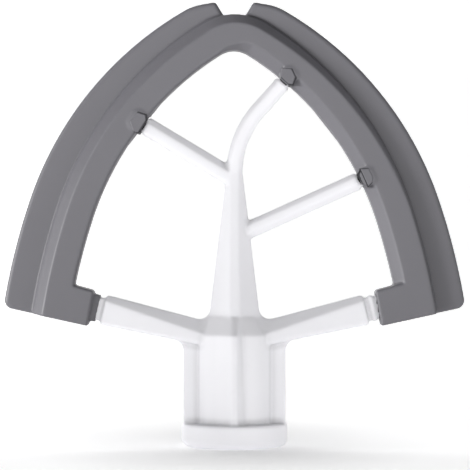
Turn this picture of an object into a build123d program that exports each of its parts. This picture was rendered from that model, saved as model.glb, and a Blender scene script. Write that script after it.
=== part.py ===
from build123d import *
from math import cos, radians, sin, sqrt, tan
import os

# Flat beater for a stand mixer, standing on the mouth of its hub.
# X is the width, Y the depth with the front at -Y, and Z the height, in millimetres.
# The origin is the centre of the hub's mouth.
# The rigid frame is one moulding: hub, stem, arms, branches and the core of the arch.
# The soft scraper is moulded over that core: a band with feet and bosses, and two thin wings.

# Socket for the mixer's shaft, with a slot for the shaft's pin and a pocket that it turns into
shaft_diameter = 14.0
shaft_clearance = 0.3
socket_depth = 33.0
mouth_chamfer = 0.8
slot_width = 5.0
slot_reach = 10.9
slot_height = 24.0
pocket_height = 5.5
pocket_turn = 40.0

# Hub
hub_radius = 12.5
hub_height = 36.0
shoulder = 6.4
shoulder_radius = 1.6
collar_radius = 17.1
collar_height = 7.6
collar_foot_radius = 2.9
collar_edge = 0.4
web_reach = 16.4
web_thickness = 9.0
web_edge_radius = 1.0
web_fillet = 3.6
rib_reach = 15.6
rib_half_width = 4.0
rib_top_half_width = 2.4
rib_broad_half_width = 6.1
rib_nose_half_width = 0.8
rib_nose_radius = 0.9
stem_sink = 0.25

# Stem: half sizes at the hub and at the top; its sides and ridges are narrow flats
stem_top = 88.0
stem_base_half_width = 8.9
stem_base_half_depth = 10.4
stem_base_half_side = 3.6
stem_base_half_ridge = 1.5

# Lower arms: height, depth and upper bevel across the arm, at its outer end and at the hub
arm_rise = 13.0
arm_lift = 1.3
arm_end_height = 9.8
arm_end_depth = 9.2
arm_end_bevel = 1.9
arm_root_x = 6.0
arm_root_height = 7.4
arm_root_depth = 15.0
arm_root_bevel = 4.2
arm_lower_bevel = 0.8
arm_fillet = 3.4
arm_fillet_half_depth = 6.2
arm_fillet_bevel = 3.1

# Straight branches: where the axis leaves the stem's centre line, its rise, and the section
branch_depth = 8.4
left_branch_z = 86.1
left_branch_rise = 31.0
left_branch_width = 6.0
left_branch_upper_bevel = 2.2
left_branch_lower_bevel = 0.7
right_branch_z = 67.6
right_branch_rise = 24.2
right_branch_width = 5.7
right_branch_upper_bevel = 1.5
right_branch_lower_bevel = 2.0

# Curved branch: it goes on from the stem upright, bends to the right and runs straight on
top_branch_width = 5.3
top_branch_bevel = 1.4
top_branch_bend = 30.5
top_branch_turn = 42.0

# Arch: the inner edge of the band is an apex arc, then two longer arcs down each side
arch_top = 139.1
apex_radius = 8.0
apex_turn = 31.8
upper_radius = 97.5
upper_turn = 40.2
lower_radius = 214.0
lower_turn = 9.6

# Band: a bar round the core, with one wide and one narrow bevel on each face
band_width = 11.7
band_depth = 11.0
band_wall = 2.2
core_bevel = 1.2
wide_bevel = 3.4
narrow_bevel = 0.6
apex_outer_bevel = 2.9
apex_inner_bevel = 1.8

# Wings: widths beyond the band at the foot, the flank, the shoulder and the crown
wing_thickness = 2.4
wing_edge_bevel = 0.7
wing_foot_width = 9.7
wing_flank_width = 9.5
wing_crown_width = 6.7
wing_crown_angle = 56.8
wing_crown_radius = 17.0
wing_crown_turn = 20.5
wing_tip_x = 6.1
wing_tip_lean = 31.0
wing_corner_radius = 2.8
wing_tip_radius = 1.0

# Feet of the arch: they end on a line that rises outward
foot_trim = 1.8
foot_rise = 12.3
foot_reach = 8.75
foot_height = 11.8
foot_top_rise = 15.0
foot_end_lean = 10.5
foot_corner_radius = 1.0
foot_edge_bevel = 0.5

# Necks between the bars and the arch, and the bosses round the ends of the branches
arm_neck_length = 2.9
arm_neck_height = 7.4
arm_neck_depth = 6.6
ring_thickness = 1.2
ring_step = 0.5
lip_length = 1.1
lip_step = 0.6
branch_gap = 1.1
branch_neck_inset = 0.8
boss_gap = 0.6
boss_length = 5.0
boss_margin = 0.15
boss_proud = 0.3
boss_corner = 1.3

bore_radius = (shaft_diameter + shaft_clearance) / 2

# Places on the arch, seen from the front, are given by the direction in which its outer side
# faces, in degrees from +X: 90 at the apex and foot_angle at the right foot.
apex_angle = 90 - apex_turn
join_angle = apex_angle - upper_turn
foot_angle = join_angle - lower_turn


def polar(centre, radius, angle):
    """The point at this angle on a circle."""
    return (centre[0] + radius * cos(radians(angle)), centre[1] + radius * sin(radians(angle)))


apex_centre = (0, arch_top - band_width - apex_radius)
upper_centre = polar(apex_centre, apex_radius - upper_radius, apex_angle)
lower_centre = polar(upper_centre, upper_radius - lower_radius, join_angle)


def arch_point(angle, offset):
    """The point of the right half that lies this far outside the band's inner edge."""
    if angle > apex_angle:
        return polar(apex_centre, apex_radius + offset, angle)
    if angle > join_angle:
        return polar(upper_centre, upper_radius + offset, angle)
    return polar(lower_centre, lower_radius + offset, angle)


def arch_plane(angle):
    """The plane across the middle of the band, with x outward and y to the front."""
    x, z = arch_point(min(angle, 180 - angle), band_width / 2)
    return Plane(
        origin=(x if angle <= 90 else -x, 0, z),
        x_dir=(cos(radians(angle)), 0, sin(radians(angle))),
        z_dir=(sin(radians(angle)), 0, -cos(radians(angle))),
    )


def bar_plane(side, x, z, rise):
    """The plane across a bar that rises to the right (side 1) or left (side -1), y upward."""
    return Plane(
        origin=(side * x, 0, z),
        x_dir=(0, side, 0),
        z_dir=(side * cos(radians(rise)), 0, sin(radians(rise))),
    )


def bar_section(depth, height, upper, lower):
    """Corners of a bar's section, with its upper and lower edges bevelled."""
    return [
        (depth / 2, height / 2 - upper),
        (depth / 2 - upper, height / 2),
        (upper - depth / 2, height / 2),
        (-depth / 2, height / 2 - upper),
        (-depth / 2, lower - height / 2),
        (lower - depth / 2, -height / 2),
        (depth / 2 - lower, -height / 2),
        (depth / 2, lower - height / 2),
    ]


def run_to_band(x, z, rise):
    """Length of a straight run from here, rising to the right, up to the band's inner edge."""
    dx = x - upper_centre[0]
    dz = z - upper_centre[1]
    along = dx * cos(radians(rise)) + dz * sin(radians(rise))
    return sqrt(along**2 + upper_radius**2 - dx**2 - dz**2) - along


def stem_section(height, inset=0.0):
    """Corners of the stem's section at this height, or of one a little inside it."""
    share = (height - hub_height) / (stem_top - hub_height)
    top_half_width = top_branch_width / 2
    top_half_depth = branch_depth / 2
    half_width = stem_base_half_width + share * (top_half_width - stem_base_half_width) - inset
    half_depth = stem_base_half_depth + share * (top_half_depth - stem_base_half_depth) - inset
    half_side = stem_base_half_side + share * (top_half_depth - top_branch_bevel - stem_base_half_side)
    half_ridge = stem_base_half_ridge + share * (top_half_width - top_branch_bevel - stem_base_half_ridge)
    return [
        (half_width, half_side),
        (half_ridge, half_depth),
        (-half_ridge, half_depth),
        (-half_width, half_side),
        (-half_width, -half_side),
        (-half_ridge, -half_depth),
        (half_ridge, -half_depth),
        (half_width, -half_side),
    ]


foot_x, foot_z = arch_point(foot_angle, 0)


def foot_line(x):
    """Height of the line on which the band, the feet and the wings end."""
    return foot_z + foot_trim + (x - foot_x) * tan(radians(foot_rise))


foot_end_x = foot_x - foot_reach
foot_run = foot_reach + band_width / 2
foot_top_z = foot_line(foot_end_x) + foot_height
arm_end_x = foot_end_x - arm_neck_length
arm_end_z = foot_line(arm_end_x) + arm_lift + arm_end_height / 2
arm_root_z = arm_end_z - (arm_end_x - arm_root_x) * tan(radians(arm_rise))


def arm_edge(x, side):
    """Height of the arm's upper (side 1) or lower (side -1) edge, seen from the front."""
    low_x = arm_root_x - side * arm_root_height / 2 * sin(radians(arm_rise))
    low_z = arm_root_z + side * arm_root_height / 2 * cos(radians(arm_rise))
    high_x = arm_end_x - side * arm_end_height / 2 * sin(radians(arm_rise))
    high_z = arm_end_z + side * arm_end_height / 2 * cos(radians(arm_rise))
    return low_z + (x - low_x) * (high_z - low_z) / (high_x - low_x)


bend_x = top_branch_bend * (1 - cos(radians(top_branch_turn)))
bend_z = stem_top + top_branch_bend * sin(radians(top_branch_turn))
top_branch_rise = 90 - top_branch_turn
top_run = run_to_band(bend_x, bend_z, top_branch_rise) - branch_gap
left_run = run_to_band(0, left_branch_z, left_branch_rise) - branch_gap
right_run = run_to_band(0, right_branch_z, right_branch_rise) - branch_gap
branch_neck_length = branch_gap + band_width / 2

# Outer ends of the branches: side, x, z, rise, width
branch_ends = [
    (
        -1,
        left_run * cos(radians(left_branch_rise)),
        left_branch_z + left_run * sin(radians(left_branch_rise)),
        left_branch_rise,
        left_branch_width,
    ),
    (
        1,
        right_run * cos(radians(right_branch_rise)),
        right_branch_z + right_run * sin(radians(right_branch_rise)),
        right_branch_rise,
        right_branch_width,
    ),
    (
        1,
        bend_x + top_run * cos(radians(top_branch_rise)),
        bend_z + top_run * sin(radians(top_branch_rise)),
        top_branch_rise,
        top_branch_width,
    ),
]

# Path along the middle of the band, from the left foot over the apex to the right foot
with BuildLine(Plane.XZ) as right_path:
    apex_arc = JernArc((0, arch_top - band_width / 2), (1, 0), apex_radius + band_width / 2, -apex_turn)
    upper_arc = JernArc(apex_arc @ 1, apex_arc % 1, upper_radius + band_width / 2, -upper_turn)
    JernArc(upper_arc @ 1, upper_arc % 1, lower_radius + band_width / 2, -lower_turn)
with BuildLine() as arch_path:
    add(right_path.line)
    mirror(right_path.line, about=Plane.YZ)

# What is cut away below the feet, on both sides
with BuildPart() as below_feet:
    with BuildSketch(Plane.XZ):
        with BuildLine():
            Polyline((0, foot_line(0)), (2 * foot_x, foot_line(2 * foot_x)), (2 * foot_x, 0), (0, 0), close=True)
        make_face()
        mirror(about=Plane.YZ)
    extrude(amount=band_depth, both=True)

# Top of the hub's shoulder, where the stem's section begins
shoulder_top = hub_height + shoulder
side_x, side_y = stem_section(shoulder_top, stem_sink)[0]
ridge_x, ridge_y = stem_section(shoulder_top, stem_sink)[1]


def hub_y(x):
    """How far the hub's surface is from the XZ plane at this x."""
    return sqrt(hub_radius**2 - x**2)


def flank_y(x):
    """How far the stem's flank is from the XZ plane at this x, at the top of the shoulder."""
    return ridge_y - (x - ridge_x) * (ridge_y - side_y) / (side_x - ridge_x)


def rib_section(half_width):
    """Corners of the two ribs' section at the hub, with this half width on their narrow sides."""
    return [
        (-rib_broad_half_width, -hub_y(rib_broad_half_width)),
        (-rib_nose_half_width, -rib_reach),
        (rib_nose_half_width, -rib_reach),
        (half_width, -hub_y(half_width)),
        (rib_broad_half_width, hub_y(rib_broad_half_width)),
        (rib_nose_half_width, rib_reach),
        (-rib_nose_half_width, rib_reach),
        (-half_width, hub_y(half_width)),
    ]


# Hub: collar and body turned about the axis, a shoulder up to the stem, and a web on each side
# and a rib at front and back
web_top_x = web_reach + 2 * web_fillet
with BuildPart() as hub:
    with BuildSketch(Plane.XZ) as hub_profile:
        with BuildLine():
            Polyline(
                (0, 0),
                (collar_radius, 0),
                (collar_radius, collar_height),
                (hub_radius, collar_height),
                (hub_radius, hub_height),
                (0, hub_height),
                close=True,
            )
        make_face()
        fillet(hub_profile.vertices().group_by(Axis.X)[-1].sort_by(Axis.Y)[0], collar_foot_radius)
        chamfer(hub_profile.vertices().group_by(Axis.X)[-1].sort_by(Axis.Y)[-1], collar_edge)
    revolve(axis=Axis.Z)
    with BuildSketch(Plane.XY.offset(hub_height)):
        Circle(hub_radius)
    with BuildSketch(Plane.XY.offset(shoulder_top)):
        with BuildLine():
            Polyline(*stem_section(shoulder_top, stem_sink), close=True)
        make_face()
    loft()
    fillet(hub.edges().filter_by_position(Axis.Z, hub_height, hub_height), shoulder_radius)
    # Webs: their outer edges turn into the undersides of the arms
    with BuildSketch(Plane.XZ) as web_outline:
        with BuildLine():
            Polyline(
                (0, collar_foot_radius),
                (web_reach, collar_foot_radius),
                (web_reach, arm_edge(web_reach, -1)),
                (web_top_x, arm_edge(web_top_x, -1)),
                (web_top_x, arm_edge(web_top_x, 0)),
                (0, arm_edge(0, 0)),
                close=True,
            )
        make_face()
        fillet(web_outline.vertices().group_by(Axis.X)[1].sort_by(Axis.Y)[-1], web_fillet)
        mirror(about=Plane.YZ)
    extrude(amount=web_thickness / 2, both=True)
    fillet(hub.edges().filter_by(Axis.Z).group_by(Axis.X)[-1], web_edge_radius)
    fillet(hub.edges().filter_by(Axis.Z).group_by(Axis.X)[0], web_edge_radius)
    # Ribs: the front one has its broad flank on the left, and the back is the front turned about Z
    with BuildSketch(Plane.XY.offset(collar_foot_radius)) as rib_plan:
        with BuildLine():
            Polyline(*rib_section(rib_half_width), close=True)
        make_face()
        fillet(rib_plan.vertices().group_by(Axis.Y)[-1], rib_nose_radius)
        fillet(rib_plan.vertices().group_by(Axis.Y)[0], rib_nose_radius)
    with BuildSketch(Plane.XY.offset(hub_height)) as rib_low_plan:
        with BuildLine():
            Polyline(*rib_section(rib_top_half_width), close=True)
        make_face()
        fillet(rib_low_plan.vertices().group_by(Axis.Y)[-1], rib_nose_radius)
        fillet(rib_low_plan.vertices().group_by(Axis.Y)[0], rib_nose_radius)
    loft()
    with BuildSketch(Plane.XY.offset(hub_height)) as rib_end_plan:
        with BuildLine():
            Polyline(*rib_section(rib_top_half_width), close=True)
        make_face()
        fillet(rib_end_plan.vertices().group_by(Axis.Y)[-1], rib_nose_radius)
        fillet(rib_end_plan.vertices().group_by(Axis.Y)[0], rib_nose_radius)
    with BuildSketch(Plane.XY.offset(shoulder_top)) as rib_top_plan:
        with BuildLine():
            Polyline(
                (-rib_broad_half_width, -flank_y(rib_broad_half_width)),
                (-rib_nose_half_width, -ridge_y),
                (rib_nose_half_width, -ridge_y),
                (rib_top_half_width, -flank_y(rib_top_half_width)),
                (rib_broad_half_width, flank_y(rib_broad_half_width)),
                (rib_nose_half_width, ridge_y),
                (-rib_nose_half_width, ridge_y),
                (-rib_top_half_width, flank_y(rib_top_half_width)),
                close=True,
            )
        make_face()
        fillet(rib_top_plan.vertices().group_by(Axis.Y)[-1], rib_nose_radius)
        fillet(rib_top_plan.vertices().group_by(Axis.Y)[0], rib_nose_radius)
    loft()

# Stem: a tapered blade, ridged at front and back
with BuildPart() as stem:
    for height in (hub_height, stem_top):
        with BuildSketch(Plane.XY.offset(height)):
            with BuildLine():
                Polyline(*stem_section(height), close=True)
            make_face()
    loft()

# Curved branch: the top of the stem swept on through the bend
with BuildPart() as top_branch:
    with BuildLine(Plane.XZ) as top_branch_path:
        rise_line = Line((0, stem_top - 1), (0, stem_top))
        bend_arc = JernArc(rise_line @ 1, rise_line % 1, top_branch_bend, -top_branch_turn)
        Line(bend_arc @ 1, (bend_arc @ 1) + (bend_arc % 1) * top_run)
    with BuildSketch(Plane.XY.offset(stem_top - 1)):
        with BuildLine():
            Polyline(
                *bar_section(top_branch_width, branch_depth, top_branch_bevel, top_branch_bevel),
                close=True,
            )
        make_face()
    sweep(path=top_branch_path.line)

# Lower arm on the right: it gets lower and deeper toward the hub, and its upper edge turns up
# into the side of the stem
crotch_z = arm_edge(stem_base_half_width, 1)
crotch_x = stem_section(crotch_z)[0][0]
crotch_top_z = crotch_z + 2 * arm_fillet
crotch_end_x = crotch_x + 2 * arm_fillet
with BuildPart() as arm:
    for x, z, depth, height, bevel in (
        (arm_root_x, arm_root_z, arm_root_depth, arm_root_height, arm_root_bevel),
        (arm_end_x, arm_end_z, arm_end_depth, arm_end_height, arm_end_bevel),
    ):
        with BuildSketch(bar_plane(1, x, z, arm_rise)):
            with BuildLine():
                Polyline(*bar_section(depth, height, bevel, arm_lower_bevel), close=True)
            make_face()
    loft()
    with BuildSketch(bar_plane(1, arm_end_x, arm_end_z, arm_rise)):
        Rectangle(arm_neck_depth, arm_neck_height)
    extrude(amount=arm_neck_length + foot_reach + band_width / 2)

# Crotch between the arm and the stem
with BuildPart() as crotch:
    with BuildSketch(Plane.XZ) as crotch_outline:
        with BuildLine():
            Polyline(
                (0, arm_edge(0, -1)),
                (crotch_end_x, arm_edge(crotch_end_x, 0)),
                (crotch_end_x, arm_edge(crotch_end_x, 1)),
                (crotch_x, arm_edge(crotch_x, 1)),
                (stem_section(crotch_top_z)[0][0], crotch_top_z),
                (0, crotch_top_z),
                close=True,
            )
        make_face()
        fillet(crotch_outline.vertices().sort_by_distance((crotch_x, arm_edge(crotch_x, 1)))[0], arm_fillet)
    extrude(amount=arm_fillet_half_depth, both=True)
    outline_edges = crotch.faces().filter_by(Axis.Y).edges()
    arc_ends = [edge @ end for edge in outline_edges.filter_by(GeomType.CIRCLE) for end in (0, 1)]
    chamfer([edge for edge in outline_edges if edge @ 0 in arc_ends or edge @ 1 in arc_ends], arm_fillet_bevel)

# Core of the arch
with BuildPart() as core:
    with BuildSketch(arch_plane(180 - foot_angle)) as core_section:
        Rectangle(band_width - 2 * band_wall, band_depth - 2 * band_wall)
        chamfer(core_section.vertices(), core_bevel)
    sweep(path=arch_path.line)
    add(below_feet.part.moved(Location((0, 0, band_wall))), mode=Mode.SUBTRACT)

with BuildPart() as frame:
    add(hub.part)
    add(stem.part)
    add(top_branch.part)
    add(arm.part)
    mirror(arm.part, about=Plane.YZ)
    add(crotch.part)
    mirror(crotch.part, about=Plane.YZ)
    add(core.part)
    for side, z, rise, run, width, upper, lower in (
        (
            -1,
            left_branch_z,
            left_branch_rise,
            left_run,
            left_branch_width,
            left_branch_upper_bevel,
            left_branch_lower_bevel,
        ),
        (
            1,
            right_branch_z,
            right_branch_rise,
            right_run,
            right_branch_width,
            right_branch_upper_bevel,
            right_branch_lower_bevel,
        ),
    ):
        with BuildSketch(bar_plane(side, 0, z, rise)):
            with BuildLine():
                Polyline(*bar_section(branch_depth, width, upper, lower), close=True)
            make_face()
        extrude(amount=run)
    for side, x, z, rise, width in branch_ends:
        with BuildSketch(bar_plane(side, x, z, rise)):
            Rectangle(branch_depth - 2 * branch_neck_inset, width - 2 * branch_neck_inset)
        extrude(amount=branch_neck_length)
    # The ring on the right neck, against the foot
    with BuildSketch(bar_plane(1, arm_end_x, arm_end_z, arm_rise).offset(arm_neck_length - ring_thickness)):
        Rectangle(arm_neck_depth + 2 * ring_step, arm_neck_height + 2 * ring_step)
    extrude(amount=ring_thickness)
    # Socket for the shaft, open at the mouth
    with BuildSketch(Plane.XY):
        Circle(bore_radius)
    extrude(amount=socket_depth, mode=Mode.SUBTRACT)
    with BuildSketch(Plane.XY):
        with Locations((0, -slot_reach / 2)):
            Rectangle(slot_width, slot_reach)
    extrude(amount=slot_height, mode=Mode.SUBTRACT)
    # Pocket at the top of the slot, where the pin turns toward +X
    with BuildSketch(Plane.XY.offset(slot_height - pocket_height)):
        Circle(slot_reach)
        with BuildLine():
            Polyline(
                (0, 0),
                polar((0, 0), 2 * slot_reach, -90),
                polar((0, 0), 2 * slot_reach, pocket_turn - 90),
                close=True,
            )
        make_face(mode=Mode.INTERSECT)
        with PolarLocations(slot_reach / 2, 1, start_angle=pocket_turn - 90):
            Rectangle(slot_reach, slot_width)
    extrude(amount=pocket_height, mode=Mode.SUBTRACT)
    with BuildSketch(Plane.XY):
        Circle(bore_radius + mouth_chamfer)
    extrude(amount=mouth_chamfer, taper=45, mode=Mode.SUBTRACT)

# Wing on the right: it ends on the line of the feet and, near the apex, at a leaning tip
with BuildPart() as wing:
    with BuildSketch(Plane.XZ) as wing_outline:
        with BuildLine():
            lower_edge = ThreePointArc(
                arch_point(foot_angle, band_width + wing_foot_width),
                arch_point((foot_angle + join_angle) / 2, band_width + wing_foot_width),
                arch_point(join_angle, band_width + wing_flank_width),
            )
            upper_edge = TangentArc(
                lower_edge @ 1,
                arch_point(wing_crown_angle, band_width + wing_crown_width),
                tangent=lower_edge % 1,
            )
            crown_edge = JernArc(upper_edge @ 1, upper_edge % 1, wing_crown_radius, wing_crown_turn)
            crown_end = crown_edge @ 1
            tip_slope = (crown_edge % 1).Y / (crown_edge % 1).X
            tip_z = crown_end.Y + (wing_tip_x - crown_end.X) * tip_slope
            root_z = arch_top - band_width / 2
            root_x = wing_tip_x - (tip_z - root_z) * tan(radians(wing_tip_lean))
            Polyline(
                crown_end,
                (wing_tip_x, tip_z),
                (root_x, root_z),
                arch_point(apex_angle, band_width / 2),
                arch_point(join_angle, band_width / 2),
                arch_point(foot_angle, band_width / 2),
                arch_point(foot_angle, band_width + wing_foot_width),
            )
        make_face()
        with BuildLine():
            Polyline((0, foot_line(0)), (2 * foot_x, foot_line(2 * foot_x)), (2 * foot_x, 0), (0, 0), close=True)
        make_face(mode=Mode.SUBTRACT)
        fillet(wing_outline.vertices().sort_by(Axis.X)[-1], wing_corner_radius)
        fillet(wing_outline.vertices().sort_by(Axis.Y)[-1], wing_tip_radius)
    extrude(amount=wing_thickness / 2, both=True)
    chamfer(wing.faces().filter_by(Axis.Y).edges(), wing_edge_bevel)

# Foot on the right: a block on the inside of the band, through which the arm's neck goes
with BuildPart() as foot:
    with BuildSketch(Plane.XZ) as foot_outline:
        with BuildLine():
            Polyline(
                (foot_end_x, foot_top_z),
                (foot_x + band_width / 2, foot_top_z + foot_run * tan(radians(foot_top_rise))),
                (foot_x + band_width / 2, 0),
                (foot_end_x + foot_top_z * tan(radians(foot_end_lean)), 0),
                close=True,
            )
        make_face()
        fillet(foot_outline.vertices().group_by(Axis.X)[0], foot_corner_radius)
    extrude(amount=band_depth / 2, both=True)
    chamfer(foot.faces().filter_by(Axis.Y).edges(), foot_edge_bevel)

# Bevels of the band's front, outside and inside, along the arch from the left foot to the right.
# The wide one runs down the outside of the left half and the inside of the right half. The back
# is the front turned about the Z axis.
front_bevels = (
    (180 - foot_angle, wide_bevel, narrow_bevel),
    (180 - join_angle, wide_bevel, narrow_bevel),
    (180 - apex_angle, wide_bevel, narrow_bevel),
    (90, apex_outer_bevel, apex_inner_bevel),
    (apex_angle, apex_outer_bevel, wide_bevel),
    (join_angle, narrow_bevel, wide_bevel),
    (foot_angle, narrow_bevel, wide_bevel),
)
back_bevels = [(180 - angle, outer, inner) for angle, outer, inner in reversed(front_bevels)]
stations = list(zip(front_bevels, back_bevels))
half_width = band_width / 2
half_depth = band_depth / 2

# Bosses round the ends of the branches, with their corners cut off
with BuildPart() as bosses:
    for side, x, z, rise, width in branch_ends:
        with BuildSketch(bar_plane(side, x, z, rise).offset(boss_gap)):
            Rectangle(band_depth + 2 * boss_proud, width + 2 * boss_margin)
        extrude(amount=boss_length)
        chamfer(bosses.edges(Select.LAST).filter_by(Axis.Y), boss_corner)

with BuildPart() as scraper:
    for span in zip(stations, stations[1:]):
        for (angle, front_outer, front_inner), (_, back_outer, back_inner) in span:
            with BuildSketch(arch_plane(angle)):
                with BuildLine():
                    Polyline(
                        (half_width, half_depth - front_outer),
                        (half_width - front_outer, half_depth),
                        (front_inner - half_width, half_depth),
                        (-half_width, half_depth - front_inner),
                        (-half_width, back_inner - half_depth),
                        (back_inner - half_width, -half_depth),
                        (half_width - back_outer, -half_depth),
                        (half_width, back_outer - half_depth),
                        close=True,
                    )
                make_face()
        span_angles = [front[0] for front, back in span]
        with BuildLine():
            ThreePointArc(
                arch_plane(span_angles[0]).origin,
                arch_plane(sum(span_angles) / 2).origin,
                arch_plane(span_angles[1]).origin,
            )
        sweep(multisection=True)
    for piece in (wing, foot):
        add(piece.part)
        mirror(piece.part, about=Plane.YZ)
    # The lip on the left foot, round the arm's neck
    with BuildSketch(bar_plane(-1, arm_end_x, arm_end_z, arm_rise).offset(arm_neck_length - lip_length)):
        Rectangle(arm_neck_depth + 2 * lip_step, arm_neck_height + 2 * lip_step)
    extrude(amount=lip_length + foot_corner_radius)
    add(bosses.part)
    add(below_feet.part, mode=Mode.SUBTRACT)
    add(frame.part, mode=Mode.SUBTRACT)

frame.part.label = "frame"
scraper.part.label = "scraper"
os.makedirs("parts", exist_ok=True)
export_step(frame.part, "parts/frame.step")
export_step(scraper.part, "parts/scraper.step")
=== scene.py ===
from math import cos, pi, radians, sin

import bmesh
import bpy
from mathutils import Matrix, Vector
from mathutils.bvhtree import BVHTree


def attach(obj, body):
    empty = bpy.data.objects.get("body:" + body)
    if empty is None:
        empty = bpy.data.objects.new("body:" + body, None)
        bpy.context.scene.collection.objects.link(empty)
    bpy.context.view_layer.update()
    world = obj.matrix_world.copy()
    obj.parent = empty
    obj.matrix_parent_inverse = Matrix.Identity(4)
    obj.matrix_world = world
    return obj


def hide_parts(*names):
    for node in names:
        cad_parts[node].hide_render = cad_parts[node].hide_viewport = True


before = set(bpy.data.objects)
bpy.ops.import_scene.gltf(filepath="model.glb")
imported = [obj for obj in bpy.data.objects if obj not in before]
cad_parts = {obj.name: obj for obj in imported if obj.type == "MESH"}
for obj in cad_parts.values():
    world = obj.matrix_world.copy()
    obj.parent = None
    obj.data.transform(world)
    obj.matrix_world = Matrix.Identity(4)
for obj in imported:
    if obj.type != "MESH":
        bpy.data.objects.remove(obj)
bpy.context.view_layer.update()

MM_IN_METRE = 1000
BLACK_TO_WHITE = (0.0, 1.0)

# Camera: level and from the front, with the photograph's scale at the object's middle
IMAGE = 470
MM_PER_PIXEL = 0.3222
SENSOR = 36.0
CAMERA_X = 0.00016
DISTANCE = 0.81
EYE_HEIGHT = 0.0681

# Moulded surfaces: noise scales are waves per metre
MOTTLE_SCALE = 55.0
GLOSS_SCALE = 160.0
ROUGHNESS_SPREAD = 0.05
GRAIN_STRENGTH = 0.25
# Rays for the painted shade that darkens corners
CORNER_SHADE_SAMPLES = 8
INDEX = 1.46
GREY_SPECULAR = 0.45

# Skins: sizes in metres. Faces are hidden where a point a little above them is just inside the
# other solid, and no farther inside than the reach.
FRAME_VOXEL = 0.00044
SCRAPER_VOXEL = 0.00042
SMOOTH_FACTOR = 0.5
SMOOTH_ROUNDS = 6
COVER_DEPTH = 0.0007
COVER_REACH = 0.0025

# Boss plates: name, outline seen from the front, and the shift of the painted shadow line behind
# the plate: a dark strip that stands in for the shadow round the plate, shifted so that it shows
# on the shaded sides only. All are in millimetres, as (x, z).
PLATES = (
    (
        "right",
        ((40.3, 89.25), (43.0, 89.4), (44.3, 86.7), (44.2, 85.1), (42.85, 83.7)),
        (-0.22, -0.12),
    ),
    (
        "top",
        (
            (15.15, 121.6), (18.2, 121.3), (19.5, 118.7),
            (18.55, 116.3), (17.25, 116.5), (14.8, 118.7),
        ),
        (0.2, -0.2),
    ),
    (
        "left",
        (
            (-31.2, 107.4), (-28.5, 106.5), (-28.35, 104.9),
            (-30.9, 100.85), (-32.4, 101.3), (-33.5, 104.5),
        ),
        (0.3, 0.0),
    ),
)
# The right boss's sleeve, drawn near-black as painted shade for its side in shadow
SLEEVE = ((39.1, 87.2), (40.05, 89.0), (40.6, 88.9), (42.7, 83.8), (40.9, 84.4))
PLATE_HALF_DEPTH = 5.95
SHADOW_LINE_HALF_DEPTH = 5.81
SLEEVE_HALF_DEPTH = 5.71
SHADOW_LINE_WIDTH = 0.28
PLATE_EDGE = 0.25
SHADOW_LINE_EDGE = 0.1
SLEEVE_EDGE = 0.2
EDGE_SEGMENTS = 3

# Floor: a flat sheet that sweeps up into a wall behind
FLOOR_FRONT = -1.6
FLOOR_BACK = 0.9
SWEEP = 0.8
SWEEP_STEPS = 24
WALL_TOP = 3.2
HALF_WIDTH = 2.6

# The paper's glow is painted light: the paper gives off light like a lamp, more in front and at
# the left, and less round the hub's foot as a painted shadow
FOOT_SHADOW_STRETCH = (1.15, 0.65, 1)
FOOT_SHADOW_CENTRE = (0.001, 0.006, 0)
FOOT_SHADOW_RANGE = (0.0, 0.085)
FOOT_SHADOW_GLOW = (0.22, 0.55)
FRONT_RANGE = (-0.05, -0.4)
FRONT_GLOW = (0.0, 0.9)
LEFT_RANGE = (-0.11, -0.35)
LEFT_GLOW = (0.0, 0.8)

# Area lights: name, place, target, width, height, power, and the pieces lit if not all
LIGHTS = (
    ("key", (-0.6, -0.5, 0.07), (0, 0, 0.05), 0.5, 0.25, 0.6, None),
    ("left", (-1.45, -0.2, 0.18), (0, 0, 0.07), 0.7, 0.5, 5, "white_pieces"),
    ("front", (-0.1, -1.7, 0.2), (0, 0, 0.07), 1.3, 0.5, 4, None),
    ("right", (0.6, -0.5, 0.07), (0, 0, 0.05), 0.5, 0.25, 1.45, None),
    ("side", (-2.35, -1.15, 0.18), (0, 0, 0.06), 1.2, 0.34, 78, "grey_pieces"),
)

# A narrow lamp low in front that lifts the collar and the foot of the hub
LAMP_PLACE = (0.3, -0.55, 0.03)
LAMP_TARGET = (0.004, 0, -0.013)
LAMP_POWER = 8
LAMP_CONE = 0.105
LAMP_RADIUS = 0.04

# Surroundings: brighter to the left and low down, dimmer to the right and overhead
ACROSS_RANGE = (-1.0, 1.0)
ACROSS_LEVEL = (0.75, 0.25)
UPWARD_RANGE = (0.0, 0.6)
UPWARD_LEVEL = (1.0, 0.08)


def linked(piece):
    """A new object, once it is in the scene."""
    bpy.context.collection.objects.link(piece)
    return piece


def noise(tree, place, scale, detail):
    """The grey level of a noise texture in object coordinates."""
    node = tree.nodes.new("ShaderNodeTexNoise")
    node.inputs["Scale"].default_value = scale
    node.inputs["Detail"].default_value = detail
    tree.links.new(place, node.inputs["Vector"])
    return node.outputs["Fac"]


def ranged(tree, value, source, result, shape="LINEAR"):
    """A value brought from one range to another and held at the ends."""
    node = tree.nodes.new("ShaderNodeMapRange")
    node.interpolation_type = shape
    node.inputs["From Min"].default_value = source[0]
    node.inputs["From Max"].default_value = source[1]
    node.inputs["To Min"].default_value = result[0]
    node.inputs["To Max"].default_value = result[1]
    tree.links.new(value, node.inputs["Value"])
    return node.outputs["Result"]


def combined(tree, operation, first, second):
    """Two values added or multiplied."""
    node = tree.nodes.new("ShaderNodeMath")
    node.operation = operation
    tree.links.new(first, node.inputs[0])
    tree.links.new(second, node.inputs[1])
    return node.outputs["Value"]


def new_material(name):
    """A material with its node tree, its shader and its object coordinates."""
    material = bpy.data.materials.new(name)
    material.use_nodes = True
    tree = material.node_tree
    place = tree.nodes.new("ShaderNodeTexCoord").outputs["Object"]
    return material, tree, tree.nodes["Principled BSDF"], place


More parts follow.
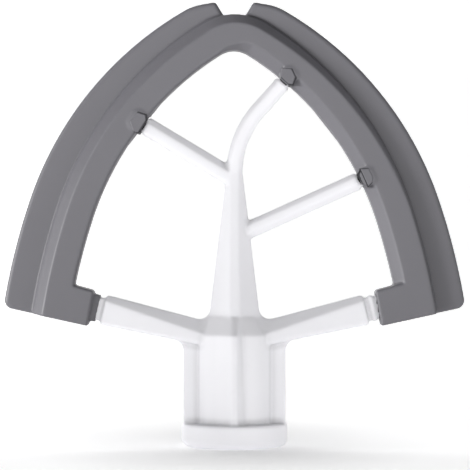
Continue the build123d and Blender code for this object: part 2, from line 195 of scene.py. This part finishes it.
def moulded(name, colour, spread, roughness, grain, grain_height, corner_shade_power, corner_shade_reach):
    """Plastic or rubber with faint mottling, uneven gloss, fine grain and painted shade that
    darkens its corners.
    """
    material, tree, shader, place = new_material(name)

    tint = tree.nodes.new("ShaderNodeMix")
    tint.data_type = "RGBA"
    tint.inputs["A"].default_value = tuple(c * (1 - spread) for c in colour) + (1,)
    tint.inputs["B"].default_value = tuple(min(1.0, c * (1 + spread)) for c in colour) + (1,)
    tree.links.new(noise(tree, place, MOTTLE_SCALE, 3.0), tint.inputs["Factor"])
    # Painted shade: ambient occlusion multiplied into the base colour darkens corners and creases
    corner = tree.nodes.new("ShaderNodeAmbientOcclusion")
    corner.inputs["Distance"].default_value = corner_shade_reach
    corner.samples = CORNER_SHADE_SAMPLES
    corner.only_local = True
    painted_corner_shade = tree.nodes.new("ShaderNodeGamma")
    painted_corner_shade.inputs["Gamma"].default_value = corner_shade_power
    tree.links.new(corner.outputs["AO"], painted_corner_shade.inputs["Color"])
    shade = tree.nodes.new("ShaderNodeMix")
    shade.data_type = "RGBA"
    shade.blend_type = "MULTIPLY"
    shade.inputs["Factor"].default_value = 1.0
    tree.links.new(tint.outputs["Result"], shade.inputs["A"])
    tree.links.new(painted_corner_shade.outputs["Color"], shade.inputs["B"])
    tree.links.new(shade.outputs["Result"], shader.inputs["Base Color"])

    gloss = noise(tree, place, GLOSS_SCALE, 4.0)
    limits = (roughness - ROUGHNESS_SPREAD, roughness + ROUGHNESS_SPREAD)
    tree.links.new(ranged(tree, gloss, BLACK_TO_WHITE, limits), shader.inputs["Roughness"])

    bump = tree.nodes.new("ShaderNodeBump")
    bump.inputs["Strength"].default_value = GRAIN_STRENGTH
    bump.inputs["Distance"].default_value = grain_height
    tree.links.new(noise(tree, place, grain, 2.0), bump.inputs["Height"])
    tree.links.new(bump.outputs["Normal"], shader.inputs["Normal"])
    shader.inputs["IOR"].default_value = INDEX
    return material


def paper_with_painted_glow():
    """Pale paper that gives off light as painted light, with a painted shadow where the glow is
    least, round the hub's foot.
    """
    material, tree, shader, place = new_material("paper")
    shader.inputs["Base Color"].default_value = (0.93, 0.93, 0.935, 1)
    shader.inputs["Roughness"].default_value = 0.85
    shader.inputs["Specular IOR Level"].default_value = 0.1
    stretch = tree.nodes.new("ShaderNodeVectorMath")
    stretch.operation = "MULTIPLY"
    stretch.inputs[1].default_value = FOOT_SHADOW_STRETCH
    tree.links.new(place, stretch.inputs[0])
    away = tree.nodes.new("ShaderNodeVectorMath")
    away.operation = "DISTANCE"
    away.inputs[1].default_value = FOOT_SHADOW_CENTRE
    tree.links.new(stretch.outputs["Vector"], away.inputs[0])
    axes = tree.nodes.new("ShaderNodeSeparateXYZ")
    tree.links.new(place, axes.inputs["Vector"])
    # Painted shadow round the hub's foot; painted light in front and at the left
    foot = ranged(tree, away.outputs["Value"], FOOT_SHADOW_RANGE, FOOT_SHADOW_GLOW, "SMOOTHSTEP")
    front = ranged(tree, axes.outputs["Y"], FRONT_RANGE, FRONT_GLOW, "SMOOTHSTEP")
    left = ranged(tree, axes.outputs["X"], LEFT_RANGE, LEFT_GLOW, "SMOOTHSTEP")
    glow = combined(tree, "ADD", foot, combined(tree, "ADD", front, left))
    shader.inputs["Emission Color"].default_value = (1, 1, 1, 1)
    tree.links.new(glow, shader.inputs["Emission Strength"])
    return material


def tree_of(node):
    """A search tree of a node's triangles."""
    shape = bmesh.new()
    shape.from_mesh(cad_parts[node].data)
    tree = BVHTree.FromBMesh(shape)
    shape.free()
    return tree


def is_inside(tree, point):
    """Whether a point lies just inside the closed surface of a search tree."""
    place, normal, _, gap = tree.find_nearest(point)
    return gap < COVER_REACH and (point - place).dot(normal) < 0


def stray_faces(shape):
    """The faces outside the largest connected patch of a shape."""
    shape.faces.index_update()
    seen = set()
    patches = []
    for first in shape.faces:
        if first.index in seen:
            continue
        seen.add(first.index)
        patch = [first]
        for face in patch:
            for edge in face.edges:
                for near in edge.link_faces:
                    if near.index not in seen:
                        seen.add(near.index)
                        patch.append(near)
        patches.append(patch)
    patches.sort(key=len)
    return [face for patch in patches[:-1] for face in patch]


def softened(name, node, other, voxel, material):
    """A fine copy of a solid with its edges and inner corners rounded as on a moulded part.

    Faces that lie inside the other solid are left out.
    """
    piece = linked(bpy.data.objects.new(name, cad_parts[node].data.copy()))
    remesh = piece.modifiers.new("remesh", "REMESH")
    remesh.mode = "VOXEL"
    remesh.voxel_size = voxel
    smooth = piece.modifiers.new("smooth", "SMOOTH")
    smooth.factor = SMOOTH_FACTOR
    smooth.iterations = SMOOTH_ROUNDS
    state = bpy.context.evaluated_depsgraph_get()
    mesh = bpy.data.meshes.new_from_object(piece.evaluated_get(state))
    piece.modifiers.clear()
    piece.data = mesh
    covering = tree_of(other)
    shape = bmesh.new()
    shape.from_mesh(mesh)
    covered = [
        face
        for face in shape.faces
        if is_inside(covering, face.calc_center_median() + face.normal * COVER_DEPTH)
    ]
    bmesh.ops.delete(shape, geom=covered, context="FACES")
    bmesh.ops.delete(shape, geom=stray_faces(shape), context="FACES")
    for face in shape.faces:
        face.smooth = True
        face.material_index = 0
    shape.to_mesh(mesh)
    shape.free()
    mesh.materials.clear()
    mesh.materials.append(material)
    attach(piece, "root")
    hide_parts(node)
    return piece


def prism(name, outline, grow, shift, half_depth, edge, material):
    """A flat prism along Y with rounded edges, grown from its outline and shifted sideways."""
    middle = sum((Vector(corner) for corner in outline), Vector((0, 0))) / len(outline)
    shape = bmesh.new()
    rings = []
    for y in (-half_depth, half_depth):
        ring = []
        for corner in outline:
            away = Vector(corner) - middle
            place = middle + away * (1 + grow / away.length) + Vector(shift)
            point = (place.x / MM_IN_METRE, y / MM_IN_METRE, place.y / MM_IN_METRE)
            ring.append(shape.verts.new(point))
        rings.append(ring)
    shape.faces.new(rings[0])
    shape.faces.new(reversed(rings[1]))
    for i in range(len(outline)):
        j = (i + 1) % len(outline)
        shape.faces.new((rings[0][j], rings[0][i], rings[1][i], rings[1][j]))
    bmesh.ops.recalc_face_normals(shape, faces=shape.faces)
    bmesh.ops.bevel(
        shape,
        geom=shape.edges[:],
        offset=edge / MM_IN_METRE,
        segments=EDGE_SEGMENTS,
        profile=0.5,
        affect="EDGES",
    )
    mesh = bpy.data.meshes.new(name)
    shape.to_mesh(mesh)
    shape.free()
    mesh.materials.append(material)
    piece = linked(bpy.data.objects.new(name, mesh))
    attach(piece, "root")
    return piece


def swept_floor(material):
    """The floor, its curve up at the back and the wall."""
    profile = [(FLOOR_FRONT, 0.0), (FLOOR_BACK, 0.0)]
    for step in range(1, SWEEP_STEPS + 1):
        angle = step / SWEEP_STEPS * pi / 2
        profile.append((FLOOR_BACK + SWEEP * sin(angle), SWEEP * (1 - cos(angle))))
    profile.append((FLOOR_BACK + SWEEP, WALL_TOP))
    shape = bmesh.new()
    rows = [[shape.verts.new((x, y, z)) for x in (-HALF_WIDTH, HALF_WIDTH)] for y, z in profile]
    for low, high in zip(rows, rows[1:]):
        face = shape.faces.new((low[0], low[1], high[1], high[0]))
        face.smooth = True
    mesh = bpy.data.meshes.new("floor")
    shape.to_mesh(mesh)
    shape.free()
    mesh.materials.append(material)
    return linked(bpy.data.objects.new("floor", mesh))


def aimed(name, data, place, target):
    """A light at its place, facing its target."""
    light = linked(bpy.data.objects.new(name, data))
    light.location = place
    direction = Vector(target) - Vector(place)
    light.rotation_euler = direction.to_track_quat("-Z", "Y").to_euler()
    return light


def group(name, pieces):
    """A collection of pieces for a light that shines on them alone."""
    collection = bpy.data.collections.new(name)
    for piece in pieces:
        collection.objects.link(piece)
    return collection


camera_data = bpy.data.cameras.new("camera")
camera_data.sensor_width = SENSOR
camera_data.lens = SENSOR * DISTANCE / (IMAGE * MM_PER_PIXEL / MM_IN_METRE)
camera_data.clip_start = 0.01
camera_data.clip_end = 20.0
camera = linked(bpy.data.objects.new("camera", camera_data))
camera.location = (CAMERA_X, -DISTANCE, EYE_HEIGHT)
camera.rotation_euler = (radians(90), 0, 0)
bpy.context.scene.camera = camera
bpy.context.scene.view_settings.view_transform = "Standard"
bpy.context.scene.view_settings.look = "None"

# The last two numbers of each set the painted corner shade: how strongly it darkens and how far
# it reaches
white = moulded(
    "white_moulding", (0.86, 0.855, 0.885), 0.012, 0.38, 1500.0, 0.00006, 1.1, 0.0025
)
grey = moulded(
    "grey_rubber", (0.109, 0.1065, 0.1175), 0.03, 0.46, 1900.0, 0.00008, 2.2, 0.0009
)
grey.node_tree.nodes["Principled BSDF"].inputs["Specular IOR Level"].default_value = GREY_SPECULAR
# Painted shadow: a near-black colour for the strips behind the plates and the sleeve, which stand
# in for shade
dark = moulded("parting_line", (0.03, 0.029, 0.034), 0.05, 0.7, 1900.0, 0.00005, 1.0, 0.0025)
for node, material in (("frame", white), ("scraper", grey)):
    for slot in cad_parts[node].material_slots:
        slot.material = material

frame_skin = softened("frame_skin", "frame", "scraper", FRAME_VOXEL, white)
scraper_skin = softened("scraper_skin", "scraper", "frame", SCRAPER_VOXEL, grey)

plates = []
for side, outline, shift in PLATES:
    plates.append(
        prism("boss_" + side, outline, 0.0, (0, 0), PLATE_HALF_DEPTH, PLATE_EDGE, grey)
    )
    # Painted shadow line: a dark strip behind the plate, shifted so that it shows on the shaded
    # sides
    prism(
        "parting_" + side, outline, SHADOW_LINE_WIDTH, shift, SHADOW_LINE_HALF_DEPTH, SHADOW_LINE_EDGE, dark
    )
# Painted shade: the right boss's sleeve in the near-black colour
prism("sleeve_right", SLEEVE, 0.0, (0, 0), SLEEVE_HALF_DEPTH, SLEEVE_EDGE, dark)

floor = swept_floor(paper_with_painted_glow())

# The far left light leaves the grey out, which has a side light of its own for its bevels
lit = {
    "white_pieces": group("white_pieces", [frame_skin, floor]),
    "grey_pieces": group("grey_pieces", [scraper_skin] + plates),
    "collar_pieces": group("collar_pieces", [frame_skin]),
}
for name, place, target, width, height, power, receivers in LIGHTS:
    data = bpy.data.lights.new(name, "AREA")
    data.shape = "RECTANGLE"
    data.size = width
    data.size_y = height
    data.energy = power
    light = aimed(name, data, place, target)
    if receivers:
        light.light_linking.receiver_collection = lit[receivers]

lamp_data = bpy.data.lights.new("lamp", "SPOT")
lamp_data.energy = LAMP_POWER
lamp_data.spot_size = LAMP_CONE
lamp_data.spot_blend = 1.0
lamp_data.shadow_soft_size = LAMP_RADIUS
lamp = aimed("lamp", lamp_data, LAMP_PLACE, LAMP_TARGET)
lamp.light_linking.receiver_collection = lit["collar_pieces"]

world = bpy.data.worlds.new("studio")
world.use_nodes = True
sky = world.node_tree
toward = sky.nodes.new("ShaderNodeTexCoord")
split = sky.nodes.new("ShaderNodeSeparateXYZ")
sky.links.new(toward.outputs["Generated"], split.inputs["Vector"])
across = ranged(sky, split.outputs["X"], ACROSS_RANGE, ACROSS_LEVEL)
upward = ranged(sky, split.outputs["Z"], UPWARD_RANGE, UPWARD_LEVEL)
background = sky.nodes["Background"]
background.inputs["Color"].default_value = (1, 1, 1, 1)
sky.links.new(combined(sky, "MULTIPLY", across, upward), background.inputs["Strength"])
bpy.context.scene.world = world
